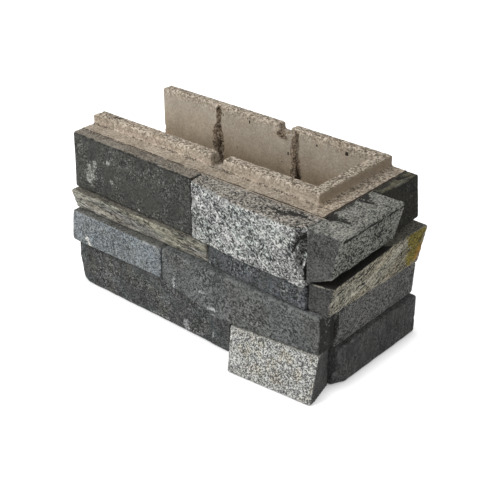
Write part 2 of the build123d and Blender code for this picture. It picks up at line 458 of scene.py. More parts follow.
def stone_material(name, look):
    """Split stone: toned crystals and streaks, sawn top and end, flecks, painted arris highlights, scuffs,
    cracks and painted shade.
    """
    n = Nodes(name)
    colour = look["colour"]
    # Colour of freshly broken stone, also of the painted arris highlight where no rim colour is given.
    fresh_and_highlight = look.get("fresh_and_highlight", shade(colour, 1.8))
    grain = n.grain(look["grain"], look["stretch"])
    broad = n.noise(look["patch"], 3)
    middle = n.noise(look["blotch"], 5, 0.65, grain, 0.4)
    if "plain" in look:
        even = n.noise(look["plain"], 5, 0.65)
        streaks = n.times(n.attribute("streaky"), n.math("SUBTRACT", middle, even))
        middle = n.math("ADD", even, streaks)
    fine = n.noise(look["speck"], 2, 0.8, grain)
    crystal = n.crystals(look["crystal"])
    cluster = n.between(n.noise(look["cluster"], 3), 0.4, 0.6)

    def mottled(share, weights):
        """A grey around 1 that varies with all four tones."""
        terms = zip(weights, (middle, fine, broad, crystal))
        return n.grey(n.total(1.0, *((share * weight, tone) for weight, tone in terms)))

    lively = n.math("MULTIPLY_ADD", cluster, 1 - look["calm"], look["calm"])
    sharp = n.total(0.0, (look["fine"], fine), (look["sparkle"], crystal))
    soft = n.total(0.5 + look["lift"], (look["broad"], broad), (look["middle"], middle))
    spread = look["spread"]
    stops = look.get("stops") or (
        (DARK, shade(colour, 1 - spread)),
        (MIDDLE, colour),
        (LIGHT, shade(colour, 1 + spread * 1.4)),
    )
    base = n.colours(n.math("MULTIPLY_ADD", sharp, lively, soft), *stops)
    for tint, size, share in look["tints"]:
        wash = n.between(n.noise(size, 3, 0.6, grain), 0.48, 0.6)
        base = n.mix(n.times(wash, share), base, tint, "MULTIPLY")

    sawn = mottled(look["grit"], TOP_WEIGHTS)
    top = n.mix(1.0, look.get("top", shade(colour, 1.2)), sawn, "MULTIPLY")
    base = n.mix(n.attribute("top"), base, top)
    quiet = mottled(look["end_grit"], END_WEIGHTS)
    end = n.mix(1.0, look.get("end", shade(colour, 0.9)), quiet, "MULTIPLY")
    base = n.mix(n.attribute("end"), base, end)

    fleck = n.between(n.crystals(look["fleck"]), 0.9, 0.94)
    base = n.mix(n.times(n.times(fleck, cluster), look["flecks"]), base, look["fleck_colour"])
    # Painted highlight along the arrises; where the rim colour is dark it draws a dark line instead.
    base = n.mix(n.flecks_along("arris", 0.55, look["arris"]), base, look.get("rim", fresh_and_highlight))
    base = n.mix(n.flecks_along("wear", 0.6, look["wear"]), base, fresh_and_highlight)
    # Marks: scuffs, dust and specks, and on some stones painted shade.
    mark = n.colours(broad, (0.46, look["mark"]), (0.54, look["mark_2"]))
    base = n.mix(n.broken(n.attribute("mark")), base, n.mix(1.0, mark, sawn, "MULTIPLY"))
    # Near black cracks and stains, with painted shade in seams and crevices and painted shadow under the
    # stone above.
    base = n.mix(n.broken(n.attribute("crack")), base, CRACK_AND_SHADE_COLOUR)

    rough = n.math("ADD", 0.62, n.times(fine, 0.4), clamp=True)
    height = n.total(0.5, (0.5, middle), (0.9, fine), (0.25, crystal))
    return n.finish(base, rough, height, look["bump"], 0.9)


def concrete_material():
    """Cast concrete: sandy grit, painted shade low in the hollow and on the tongue's end, pin holes and
    joints with painted shade, broken scars with painted shadow beside them.
    """
    n = Nodes("cast_concrete")
    coarse = n.attribute("coarse")
    broad = n.noise(70, 3)
    cloud = n.noise(16, 5, 0.6)
    sand = n.noise(2.4, 2, 0.8)
    grit = n.crystals(1.8)
    tone = n.total(0.5, (0.35, broad), (0.3, cloud), (0.45, sand), (0.12, grit))
    tone = n.math("MULTIPLY_ADD", n.total(0.0, (1.4, sand), (0.95, grit)), coarse, tone)
    base = n.colours(
        tone,
        (DARK, (0.13, 0.108, 0.08)),
        (MIDDLE, (0.41, 0.354, 0.283)),
        (LIGHT, (0.7, 0.63, 0.535)),
    )
    warm = n.between(n.noise(34, 3), 0.5, 0.66)
    base = n.mix(n.times(warm, 0.3), base, (1.0, 0.92, 0.82), "MULTIPLY")
    base = n.mix(coarse, base, (0.93, 0.9, 0.87), "MULTIPLY")
    # Painted shade low in the hollow and on the tongue's end, a slightly darker tongue front and dirt on the
    # ledge.
    base = n.mix(n.attribute("depth"), base, (0.595, 0.522, 0.428), "MULTIPLY")
    speck = n.between(n.crystals(2.2), 0.94, 0.97)
    speck = n.times(speck, n.math("MULTIPLY_ADD", coarse, 0.6, 0.1))
    base = n.mix(speck, base, (0.06, 0.048, 0.036))
    base = n.mix(n.flecks_along("wear", 0.5, 0.5), base, (0.24, 0.19, 0.135))
    base = n.mix(n.times(n.attribute("mark"), 0.35), base, (0.5, 0.395, 0.325))
    scar = n.colours(
        n.total(0.5, (1.6, n.noise(3.0, 2, 0.8)), (0.5, grit)),
        (0.2, (0.05, 0.035, 0.023)),
        (0.5, (0.14, 0.102, 0.068)),
        (0.85, (0.36, 0.29, 0.215)),
    )
    base = n.mix(n.broken(n.attribute("scar"), 3.0, 1.1), base, scar)
    # Near black painted shade in the pin holes and joints, and painted shadow beside the scars.
    base = n.mix(n.broken(n.attribute("crack")), base, (0.03, 0.022, 0.015))
    rough = n.math("ADD", 0.7, n.times(sand, 0.3), clamp=True)
    height = n.total(0.5, (0.3, cloud), (1.0, sand), (0.3, grit))
    return n.finish(base, rough, height, 0.7, 0.6)


# Stones

# Usual relief of a split face in millimetres: how far it swells and how high and broad its planes and lumps
# are; side is the share of the relief on the sawn sides, top the height of the top's roughness.
RELIEF = dict(
    swell=0.6, facet=0.4, cell=13, rough=0.6, lump=8, side=0.25, top=0.0, chip=1.2, chip_spacing=110,
)
# Spacing, depth and breadth of the small nicks along all edges, and the breadth of the rarer chips
NICKS = (6, 0.35, 2.6)
CHIP_BREADTH = 7
SHARP = 0.5
NOISE_STEP = 100
# How dark the painted shade in the seam at the core, a crack and the painted shadow under the stone above
# are
SEAM_SHADE, CUT, UNDER_SHADOW = 0.8, 0.62, 0.8
UNDER_SHADOW_FADE = 14
STREAK_WANDER = 12
LEAST_OUT = 0.05
EXPOSED = 3


def front_stone(node, seed, look, relief, ends=(), **details):
    split_stone(node, seed, FRONT, look, relief, ends, **details)


def end_stone(node, seed, look, relief, **details):
    split_stone(node, seed, END, look, relief, (FRONT,), **details)


def split_stone(node, seed, outward, look, relief, ends, cracks=(), marks=(), bruises=(), scoops=(),
                stains=(), covered=None, streaks=None):
    """One stone: its CAD form made dense, then broken relief, chipped edges, cracks, scuffs and stains.

    A crack has two ends, a width and a depth; marks, bruises and stains are spots, some bruises being
    painted highlights and some stains painted shade; a scoop has a centre and a radius. The top has painted
    shadow as far back as given, and streaks fade out between two places along X.
    """
    look = {**LOOK, **look}
    relief = {**RELIEF, "stretch": look["stretch"], **relief}
    piece = node.replace("_stone", "_split_stone")
    obj, welded = dense_piece(node, piece, STONE_VOXEL)
    mesh = obj.data
    p = millimetres(mesh)
    n = normals_of(mesh)
    rng = np.random.default_rng(seed)
    noise = seed * NOISE_STEP
    home = np.zeros(3) if outward is FRONT else LENGTH * END
    out = (p - home) @ outward
    facing = n @ outward
    face = ramp(facing, 0.25, 0.75)
    top = ramp(n @ UP, *FLAT)
    back = ramp(-facing, *TURNED)
    end = np.zeros(len(p))
    for direction in ends:
        end = np.maximum(end, ramp(n @ direction, *FLAT))
    edges = sharp_edges(welded, SHARP)
    edge = edge_distance(p, edges)
    welded.free()
    # Where the arris highlight is painted: a broken band along the sharp edges of the split face.
    arris = (1 - ramp(edge, 0.4, 1.8)) * ramp(out, 4, 7) * ramp(fractal(p, 16, noise + 80, 3), -0.35, 0.55)

    q = stretched(p, look["grain"], relief["stretch"])
    swell = relief["swell"] * fractal(p, 60, noise + 1, 2)
    bent = q + 1.5 * fractal(p, 9, noise + 5)[:, None]
    planes = relief["facet"] * facets(bent, relief["cell"], noise + 10)
    rough = relief["rough"] * fractal(q, relief["lump"], noise + 20, 4, 0.6)
    height = face * (swell + planes + rough)
    height += (1 - face) * (1 - back) * relief["side"] * (rough + 0.4 * planes)
    height += top * relief["top"] * (fractal(q, 12, noise + 30, 4, 0.6) - 0.3)
    height *= 0.4 + 0.6 * ramp(edge, 1, 8)

    uneven = fractal(p, 7, noise + 40, 3)
    # Painted shade along the seam where the stone's top meets the core.
    crack = top * (1 - ramp(out + 1.2 * uneven, 0.6, 2.8)) * SEAM_SHADE
    for a, b, width, depth in cracks:
        away = line_distance(p, np.array(a, float), np.array(b, float))
        cut = 1 - ramp(away + 1.2 * uneven, width * 0.3, width)
        height -= cut * depth
        crack = np.maximum(crack, CUT * cut)
    # Painted shadow on the top where the stone above overhangs it.
    if covered:
        overhang_shadow = 1 - ramp(p[:, 1] + 6 * uneven, covered - UNDER_SHADOW_FADE, covered)
        crack = np.maximum(crack, UNDER_SHADOW * top * overhang_shadow)
    p += n * (height * (1 - back))[:, None]

    def exposed(place):
        return (place - home) @ outward > EXPOSED

    worn = np.zeros(len(p))
    chip_edges(p, worn, edges, rng, *NICKS, exposed)
    chip_edges(p, worn, edges, rng, relief["chip_spacing"], relief["chip"], CHIP_BREADTH, exposed)
    for centre, radius in scoops:
        ragged_scoop(p, np.array(centre), radius, noise + 50)
    mark = spots(p, marks, noise + 60) * face
    # Bruises: worn spots, and on the thick end stone painted highlights.
    worn = np.maximum(worn, spots(p, bruises, noise + 70))
    crack = np.maximum(crack, spots(p, stains, noise + 90))
    p += outward * np.maximum(0.0, LEAST_OUT - (p - home) @ outward)[:, None]
    put_back(mesh, p)
    if streaks:
        give(mesh, streaky=1 - ramp(p[:, 0] + STREAK_WANDER * uneven, *streaks))
    give(mesh, top=top, end=end, arris=arris, wear=worn, crack=crack, mark=mark)
    finish_piece(obj, node, stone_material(piece, look))


def ragged_scoop(p, centre, radius, seed):
    """Presses the points inside an uneven ball out to its skin."""
    ragged = p + 0.8 * fractal(p, 5, seed, 3)[:, None]
    away = np.linalg.norm(ragged - centre, axis=1)
    inside = away < radius
    direction = p[inside] - centre
    length = np.linalg.norm(direction, axis=1, keepdims=True) + TINY
    p[inside] += direction / length * (radius - away[inside])[:, None]


def front_top_left():
    """Dark limestone with a pale ragged scuff, a few pale specks and a dark upper arris."""
    scuff = (
        ((29, -15, 155), (17, 8, 24), 0.46), ((28, -15, 147), (12, 8, 14), 0.5),
        ((37, -15, 168), (7, 8, 9), 0.5),
    )
    specks = (
        ((62, -16, 177), (5, 8, 4), 0.85), ((68, -16, 154), (6, 8, 6), 0.5),
        ((63, -16, 128), (3, 8, 2.4), 0.8), ((113, -16, 133), (2.6, 8, 2.2), 1.0),
    )
    dust = (
        ((16, -13, 186), (16, 8, 10), 0.35), ((52, -14, 180), (26, 8, 11), 0.25),
        ((96, -15, 160), (34, 8, 14), 0.2),
    )
    dark_arris = ((2, -14, 199.5), (198, -19, 199.5), 2.4, 0.0)
    look = dict(
        slot="dark_limestone", colour=(0.05, 0.05, 0.045), spread=0.7, top=(0.215, 0.19, 0.155),
        fresh_and_highlight=(0.16, 0.16, 0.145), rim=(0.025, 0.024, 0.021), arris=0.95, wear=0.15,
        mark=(0.36, 0.36, 0.33), mark_2=(0.28, 0.28, 0.26), calm=0.3, cluster=34, fine=2.5, sparkle=1.4,
        flecks=0.75, fleck_colour=(0.24, 0.24, 0.225),
    )
    relief = dict(swell=0.4, facet=0.15, rough=0.35, cell=18)
    front_stone("front_top_left_stone", 1, look, relief, cracks=(dark_arris,), marks=scuff + specks + dust)


GRANITE = (
    (0.03, (0.03, 0.031, 0.031)),
    (0.26, (0.13, 0.133, 0.132)),
    (0.5, (0.275, 0.28, 0.275)),
    (0.74, (0.43, 0.435, 0.425)),
    (0.97, (0.78, 0.78, 0.755)),
)


def front_top_right():
    """Light speckled granite, streaky to the left, its right end broken away in a hollow darkened with
    painted shade, with painted shadow along its rim.
    """
    hollow = (((374, -42, 172), 25),)
    lower_bites = (
        ((330, -44, 132), 12), ((226, -31, 121), 12), ((262, -33, 120), 12.5), ((297, -36, 121), 12),
        ((349, -37, 120), 13),
    )
    hollow_shade = (((365, -27, 164), (14, 18, 42), 0.72), ((360, -27, 186), (11, 16, 14), 0.6))
    # Painted shadow along the hollow's upper rim, cut in as shallow cracks.
    hollow_rim_shadow = (
        ((366, -25, 189), (358, -28, 182), 5.0, 1.6), ((358, -28, 182), (352, -29, 168), 4.2, 1.2),
        ((353, -27, 195), (357, -27, 186), 3.6, 1.0),
    )
    # Painted shade in the crevice between this stone and the thick end stone.
    corner_gap_shade = (((366, -24, 163), (2.6, 11, 44), 0.75),)
    dark_top = (
        ((310, -13, 198), (13, 5, 6), 0.5), ((324, -15, 198), (13, 6, 6), 0.6),
        ((336, -10, 199), (13, 6, 6), 0.65), ((348, -8, 199), (11, 5, 6), 0.6),
    )
    look = dict(
        slot="granite", colour=(0.25, 0.255, 0.25), stops=GRANITE, grain=(1, 0, -0.55), stretch=3.2,
        blotch=5, plain=5, speck=1.8, crystal=1.6, patch=32, broad=0.8, middle=1.15, fine=2.2, sparkle=1.2,
        calm=0.8, top=(0.24, 0.221, 0.192), grit=2.1, fresh_and_highlight=(0.5, 0.5, 0.48), arris=0.25, wear=0.3, bump=1.4,
        # mark and mark_2 are the colours of the painted shade in the hollow.
        mark=(0.14, 0.14, 0.135), mark_2=(0.19, 0.19, 0.183),
        tints=(((0.82, 0.9, 0.86), 22, 0.5), ((0.8, 0.78, 0.76), 30, 0.4)),
    )
    relief = dict(
        swell=0.7, facet=1.1, rough=1.3, cell=10, stretch=2.0, top=0.6, chip=2.0, chip_spacing=40,
    )
    front_stone(
        "front_top_right_stone", 2, look, relief, scoops=hollow + lower_bites, streaks=(200, 330),
        cracks=hollow_rim_shadow, marks=hollow_shade, stains=corner_gap_shade + dark_top,
    )


def front_third_left():
    """Thin tan strip with long streaks and painted shade on its lower part."""
    lower_shade = (
        ((128, -20, 104), (34, 14, 14), 0.42), ((90, -20, 97), (50, 14, 4), 0.36),
        ((8, -18, 104), (10, 14, 14), 0.26),
    )
    look = dict(
        slot="tan_limestone", colour=(0.26, 0.252, 0.223), spread=0.9, grain=(1, 0, -0.12), stretch=5.5,
        speck=1.8, fine=3.2, sparkle=0.4, middle=1.4, top=(0.15, 0.14, 0.115), fresh_and_highlight=(0.42, 0.4, 0.33),
        # mark and mark_2 are the colours of the painted shade on its lower part.
        mark=(0.12, 0.115, 0.105), mark_2=(0.17, 0.165, 0.15), bump=1.2,
        tints=(((0.95, 1.0, 0.84), 30, 0.5), ((1.0, 0.9, 0.76), 18, 0.4), ((0.55, 0.55, 0.57), 26, 0.5)),
    )
    relief = dict(swell=0.7, facet=0.7, rough=1.0, cell=9, stretch=3.0)
    front_stone("front_third_left_stone", 3, look, relief, marks=lower_shade)


def front_third_right():
    """Dark limestone under the granite, with pale flecks."""
    look = dict(
        slot="dark_limestone", colour=(0.07, 0.073, 0.074), spread=0.8, patch=24, broad=0.9, fine=2.6,
        sparkle=1.5, calm=0.45, fresh_and_highlight=(0.2, 0.2, 0.19), flecks=0.9, fleck_colour=(0.3, 0.3, 0.3),
        tints=(((0.9, 0.88, 1.0), 24, 0.5), ((0.8, 0.94, 1.0), 18, 0.4)),
    )
    relief = dict(swell=0.5, facet=0.25, rough=0.45, cell=16)
    front_stone("front_third_right_stone", 4, look, relief)


def front_second_left():
    """Blue-grey limestone with a bright chip at its lower left."""
    bright_chip = (
        ((27, -28, 69), (3.2, 12, 6), 0.95), ((30, -28, 64), (3.4, 12, 6), 0.95),
        ((34, -28, 60), (7, 12, 3.4), 0.95),
    )
    dust = (((80, -27, 66), (24, 8, 12), 0.27), ((128, -27, 70), (16, 8, 9), 0.24))
    look = dict(
        slot="blue_limestone", colour=(0.172, 0.186, 0.193), spread=0.7, top=(0.11, 0.11, 0.1),
        fresh_and_highlight=(0.42, 0.43, 0.43), mark=(0.62, 0.62, 0.58), mark_2=(0.55, 0.55, 0.52),
        flecks=0.5, fleck_colour=(0.42, 0.43, 0.43),
        tints=(((0.76, 0.87, 1.0), 26, 0.45), ((1.0, 0.96, 0.86), 16, 0.35)),
    )
    relief = dict(swell=0.5, facet=0.3, rough=0.6, cell=14, chip=0.8, chip_spacing=160)
    front_stone(
        "front_second_left_stone", 5, look, relief, marks=bright_chip + dust, scoops=(((4, -34, 62), 9),),
    )


def front_second_right():
    """Long mid-grey limestone with scuffs near its left end and an end darkened with painted shade in the
    corner.
    """
    scuffs = (
        ((174, -26, 61), (3, 8, 13), 0.7), ((169, -26, 51), (15, 8, 3), 0.65),
        ((222, -26, 68), (8, 8, 3.4), 0.6), ((240, -32, 54), (14, 9, 4), 0.6),
    )
    dust = (
        ((198, -28, 58), (18, 8, 9), 0.3), ((172, -27, 75), (14, 8, 16), 0.26),
        ((300, -29, 75), (40, 8, 12), 0.24),
    )
    look = dict(
        slot="grey_limestone", colour=(0.094, 0.099, 0.097), spread=0.7, grain=(1, 0, -1.1), stretch=2.0,
        broad=0.7, middle=0.35, fine=2.6, sparkle=1.5, calm=0.55, fresh_and_highlight=(0.24, 0.245, 0.24),
        # Its end colour is painted shade, darker than the stone itself.
        end=(0.029, 0.029, 0.027), mark=(0.42, 0.43, 0.42), mark_2=(0.34, 0.35, 0.35),
        flecks=0.75, fleck_colour=(0.3, 0.305, 0.3),
        tints=(((0.88, 0.98, 1.0), 30, 0.3), ((1.0, 0.93, 0.84), 60, 0.6)),
    )
    relief = dict(swell=0.7, facet=0.25, rough=0.5, cell=16, chip=0.8, chip_spacing=160)
    front_stone(
        "front_second_right_stone", 6, look, relief, ends=(END,), marks=scuffs + dust,
        # The stain by the corner is painted shade.
        stains=(((387, -4, 72), (6, 9, 34), 0.6),),
    )


def front_bottom_left():
    """Dark limestone with dust and scuffs along its foot."""
    scuffs = (
        ((190, -22, 8), (9, 8, 12), 0.55), ((236, -22, 40), (12, 8, 4), 0.5),
        ((232, -22, 12), (3, 8, 9), 0.5), ((212, -22, 5), (10, 8, 3), 0.45),
        ((150, -21, 4), (40, 8, 3), 0.42),
    )
    dust = (
        ((152, -22, 28), (24, 8, 13), 0.36), ((62, -21, 24), (30, 8, 8), 0.36),
        ((120, -22, 18), (24, 8, 9), 0.28), ((176, -22, 16), (18, 8, 12), 0.34),
    )
    look = dict(
        slot="dark_limestone", colour=(0.07, 0.072, 0.07), spread=0.75, patch=34, broad=0.8, fine=2.4,
        sparkle=1.4, cluster=22, calm=0.5, fresh_and_highlight=(0.24, 0.24, 0.23), mark=(0.36, 0.36, 0.36),
        mark_2=(0.27, 0.28, 0.29), flecks=0.7, fleck=1.5, fleck_colour=(0.3, 0.3, 0.3),
        tints=(((1.0, 0.95, 0.8), 24, 0.5), ((0.84, 0.93, 1.0), 30, 0.55)),
    )
    relief = dict(swell=0.7, facet=0.4, rough=0.7, cell=14)
    front_stone("front_bottom_left_stone", 7, look, relief, marks=scuffs + dust)


PALE_GRANITE = (
    (0.03, (0.075, 0.076, 0.074)),
    (0.26, (0.175, 0.176, 0.17)),
    (0.5, (0.3, 0.3, 0.29)),
    (0.74, (0.43, 0.43, 0.412)),
    (0.97, (0.72, 0.72, 0.69)),
)


def front_bottom_right():
    """Pale fine-grained granite with a darker end."""
    look = dict(
        slot="granite", colour=(0.33, 0.325, 0.295), stops=PALE_GRANITE, speck=1.3, crystal=1.25, blotch=6,
        patch=30, broad=0.6, middle=0.35, fine=2.5, sparkle=1.5, calm=0.95, lift=0.008,
        end=(0.088, 0.087, 0.085), fresh_and_highlight=(0.55, 0.54, 0.5), arris=0.25, wear=0.3, bump=0.9,
        tints=(((1.0, 0.92, 0.78), 18, 0.6), ((0.8, 0.84, 0.82), 22, 0.4)),
    )
    relief = dict(swell=0.7, facet=0.4, rough=0.6, cell=8, lump=5)
    front_stone("front_bottom_right_stone", 8, look, relief, ends=(END,))


def end_top_front():
    """Thick grey limestone with two gouges and dark stains on its top, a dark line under its arris, painted
    shade in the crevice at its front corner and painted highlights along its edges.
    """
    gouges = (((369, 4, 200), (392, 11, 200), 4.0, 1.5), ((370, 60, 200), (386, 64, 200), 4.0, 1.5))
    dark_arris = ((409, -22, 195.6), (409.6, 84, 195.6), 3.0, 0.0)
    top_stains = (
        ((371, 8, 199.5), (11, 12, 6), 0.68), ((382, 11, 199), (12, 6, 6), 0.55),
        ((369, 40, 200), (6, 24, 5), 0.5), ((371, 68, 199.5), (9, 14, 6), 0.64),
        ((380, 64, 199), (11, 6, 6), 0.52),
    )
    # The thin upright line is painted shade in the crevice beside the granite; the broad patch darkens the
    # side.
    side_shade_and_stain = (((367, -25, 165), (1.8, 4, 40), 0.55), ((400, 6, 172), (16, 40, 32), 0.26))
    # Painted highlights: a glint at the front corner and pale lines down the back edge.
    bruises = (
        ((367.5, -26, 192), (3, 5, 7), 0.9), ((408, 78, 190), (6, 7, 9), 0.6),
        ((404, 80, 176), (6, 7, 10), 0.7), ((400, 78, 160), (6, 8, 10), 0.6),
    )
    look = dict(
        slot="grey_limestone", colour=(0.187, 0.187, 0.167), spread=0.9, grain=(0, 1, 0.3), stretch=1.8,
        blotch=5, speck=1.6, patch=30, broad=1.6, middle=1.0, fine=3.4, sparkle=1.6, calm=0.75,
        top=(0.208, 0.206, 0.183), grit=1.7, end=(0.088, 0.088, 0.085), end_grit=1.25,
        fresh_and_highlight=(0.36, 0.36, 0.33), arris=0.75, bump=1.4,
    )
    relief = dict(swell=0.7, facet=0.6, rough=1.0, cell=12, top=1.0, side=0.15)
    end_stone(
        "end_top_front_stone", 9, look, relief, cracks=(*gouges, dark_arris),
        stains=top_stains + side_shade_and_stain, bruises=bruises,
    )


def end_top_back():
    """Thin, near black limestone with an uneven top."""
    look = dict(
        slot="dark_limestone", colour=(0.0185, 0.0175, 0.013), spread=0.8, grain=(0, 1, 0.1), stretch=2.5,
        top=(0.073, 0.069, 0.044), grit=1.5, fresh_and_highlight=(0.24, 0.23, 0.19), arris=0.4,
        flecks=0.4, fleck_colour=(0.14, 0.14, 0.13),
    )
    relief = dict(swell=0.5, facet=0.5, rough=0.7, cell=12, top=0.8)
    end_stone(
        "end_top_back_stone", 10, look, relief, cracks=(((371, 128, 200), (377, 152, 200), 3.0, 1.4),),
        stains=(((370, 104, 200), (6, 26, 5), 0.6), ((372, 140, 200), (4, 14, 5), 0.45)),
        bruises=(((371, 142, 200), (6, 7, 3), 0.7), ((376, 114, 200), (4, 4, 3), 0.6)),
    )


def end_third():
    """Tan limestone with steep streaks and an ochre stain at the back, with painted shadow under the thick
    stone above.
    """
    ochre = (((400, 132, 138), (22, 29, 26), 0.74), ((397, 137, 112), (22, 28, 25), 0.74))
    pale_corner = (((400, -14, 128), (14, 7, 14), 0.8), ((397, -22, 112), (8, 6, 14), 0.6))
    look = dict(
        slot="tan_limestone", colour=(0.323, 0.308, 0.252), spread=0.95, grain=(0, 1, 0.45), stretch=6.5,
        speck=2.0, middle=1.7, fine=3.0, sparkle=0.9, calm=0.8, top=(0.17, 0.16, 0.128),
        end=(0.07, 0.07, 0.068), fresh_and_highlight=(0.5, 0.47, 0.4), mark=(0.26, 0.212, 0.05),
        mark_2=(0.34, 0.18, 0.035), bump=1.5,
        tints=(((0.6, 0.61, 0.58), 14, 0.55), ((1.0, 0.88, 0.7), 20, 0.4)),
    )
    relief = dict(swell=0.7, facet=0.7, rough=1.1, cell=10, stretch=2.2, side=0.12)
    end_stone("end_third_stone", 11, look, relief, marks=ochre, bruises=pale_corner, covered=92)


def end_second():
    """Dark grey limestone, darker towards the corner."""
    corner_shade = (
        ((386, 3, 75), (9, 7, 30), 0.6), ((386, 10, 94), (9, 13, 7), 0.5), ((386, 12, 55), (9, 12, 6), 0.45),
    )
    look = dict(
        slot="grey_limestone", colour=(0.132, 0.13, 0.125), spread=0.75, grain=(0, 1, 0.5), stretch=1.6,
        fine=2.3, sparkle=1.4, calm=0.5, fresh_and_highlight=(0.3, 0.3, 0.28), flecks=0.6,
    )
    relief = dict(swell=0.5, cell=14)
    end_stone("end_second_stone", 12, look, relief, stains=corner_shade)


def end_bottom():
    """Near black limestone with upright streaks, and painted shade at its front end by the corner."""
    look = dict(
        slot="dark_limestone", colour=(0.076, 0.076, 0.074), spread=0.8, grain=(0, 0.12, 1), stretch=4.0,
        middle=0.9, fine=2.0, sparkle=0.7, calm=0.5, fresh_and_highlight=(0.19, 0.19, 0.18),
        flecks=0.4, fleck_colour=(0.22, 0.22, 0.215),
    )
    relief = dict(swell=0.5, cell=12, stretch=2.0)
    # The stain at its front end by the corner is painted shade.
    end_stone("end_bottom_stone", 13, look, relief, stains=(((390, 4, 26), (10, 9, 32), 0.36),))


STONES = (
    front_top_left, front_top_right, front_third_left, front_third_right, front_second_left,
    front_second_right, front_bottom_left, front_bottom_right, end_top_front, end_top_back, end_third,
    end_second, end_bottom,
)


# Core

CORE_SEED = 40
CORE_NOISE = 400
CORE_SHARP = 0.3
# Spacing, depth and breadth of what is broken off the cast edges
CORE_NICKS = (6, 0.4, 3)
CORE_CHIPS = (70, 1.4, 6)
# Pin holes inside the back wall and on the back: number, then run, face, foot and rise, then spread
PIN_HOLES = (
    (110, 330, WALL, 130, 80, 1.4),
    (90, LENGTH, DEPTH, 0, 205, 1.8),
)
LEAST_HOLE = 0.6
LARGE_HOLES = (
    ((293, WALL, 203), 2.6), ((128, WALL, 166), 2.6), ((114, WALL, 155), 2.0), ((84, WALL, 143), 2.0),
    ((31, 29, TOP), 2.6), ((37, 30, TOP), 2.4),
)
OPEN_END_CORNERS = (((-7, 147.5, 220), 13.5), ((-7, 28, 220), 14.5))
# Scars of the two webs on the back wall: heights, middles and half widths there, and strength
SCARS = (
    ((135, 159, 175, 191, 210), (99.5, 97.5, 94.6, 97.5, 96.8), (5.2, 6.9, 8.7, 3.3, 2.0), 1.0),
    ((153, 168, 180, 198, 209), (222.0, 219.8, 218.3, 218.6, 221.0), (7.7, 7.5, 7.9, 7.0, 3.7), 0.62),
)


def in_hollow(p):
    """True for the points on the walls of the hollow."""
    x, y, _ = p.T
    return (y > TONGUE_BACK + 0.5) & (y < WALL + 1) & (x < END_TONGUE_BACK + 1)


def core_tones(p, n, up, uneven):
    """How sandy the cast faces are and where they are darkened: a rough top, smooth walls, painted shade low
    in the hollow and on the tongue's end, a slightly darker tongue front and dirt on the ledge.
    """
    x, y, z = p.T
    over_ledge = z > LEDGE - 1
    near_top = z > LEDGE - 10
    ledge = up * (z < LEDGE + 6)
    end_ledge = ledge * (x > END_TONGUE + 1.5)
    tongue_front = ramp(n @ FRONT, *TURNED) * over_ledge * (y < TONGUE_BACK)
    tongue_end = ramp(n @ END, *TURNED) * over_ledge * (x > END_TONGUE - 1.5)
    upper_band = (1 - ramp(TOP - z + 2.0 * uneven, 1, 14)) * over_ledge * (n @ END < 0.5)
    coarse = up * near_top * (1.05 - 0.7 * ledge + 0.45 * end_ledge)
    coarse = np.maximum(coarse, tongue_front * (0.55 - 0.3 * ramp(x, 150, 260)))
    coarse = np.maximum(coarse, 0.55 * upper_band)
    # Painted shade, darker lower in the hollow and on the tongue's end; the tongue's front a little darker;
    # dirt on the ledge.
    depth = in_hollow(p) * ramp(LEDGE - z + 5 * fractal(p, 40, CORE_NOISE + 2, 2), 0, 62) * (1 - up)
    depth = np.maximum(depth, 0.65 * tongue_end)
    depth = np.maximum(depth, 0.15 * tongue_front)
    dirt = ramp(fractal(p, 12, CORE_NOISE + 4, 3), -0.5, 0.4)
    depth = np.maximum(depth, 0.28 * ledge * near_top * dirt)
    return coarse, depth


def web_scars(p, n, tall):
    """Where the webs and the notch are broken, and the painted shadow beside each web's scar, cut in as a
    shallow groove.
    """
    x, y, z = p.T
    scar = np.zeros(len(p))
    ridge_shadow = np.zeros(len(p))
    on_wall = in_hollow(p) & (z > WEB_TOP - 6) & (y > WALL - 21)
    for heights, middles, halves, strength in SCARS:
        middle, half = np.interp(z, heights, middles), np.interp(z, heights, halves)
        across = x - middle + 1.6 * fractal(tall, 9, CORE_NOISE + 1, 3, 0.6)
        near = (1 - ramp(np.abs(across) / half, 0.5, 1.5)) * on_wall
        scar = np.maximum(scar, strength * near)
        # Painted shadow on the side of each scar away from the light, fading out towards the top.
        line = 1 - ramp(np.abs(across - 0.4 * half + 1.4 * fractal(tall, 5, CORE_NOISE + 7, 3)), 0.6, 2.4)
        ridge_shadow = np.maximum(ridge_shadow, near * line * ramp(186 - z, 0, 25) * 0.5)
    notch_sides = ramp(np.abs(n @ END), 0.4, 0.8) * (np.abs(x - NOTCH) < 16) * (z > LEDGE - 1)
    notch_break = ((NOTCH - 3, WALL, LEDGE + 1), (12, 6, 7), 0.8)
    scar = np.maximum(scar, 0.45 * notch_sides)
    scar = np.maximum(scar, spots(p, (notch_break,), CORE_NOISE + 40))
    return scar, ridge_shadow


def worn_edge(place):
    """True where the core's edges are open to wear: its top, its back and its open end."""
    x, y, z = place
    return (z > LEDGE - 2 and y > LEDGE_WIDTH - 1.5) or y > DEPTH - 4 or (x < 3 and y > 3)


def pin_holes(p, crack, rng):
    """Pin holes on the inside of the back wall and on the back, and a few larger ones that stand out, with
    painted shade inside them, darker where deeper.
    """
    for count, run, wall, foot, rise, spread in PIN_HOLES:
        for _ in range(count):
            place = np.array((rng.random() * run, wall, foot + rng.random() * rise))
            scoop(p, crack, place, LEAST_HOLE + rng.random() ** 3 * spread)
    for place, radius in LARGE_HOLES:
        scoop(p, crack, np.array(place, float), radius)


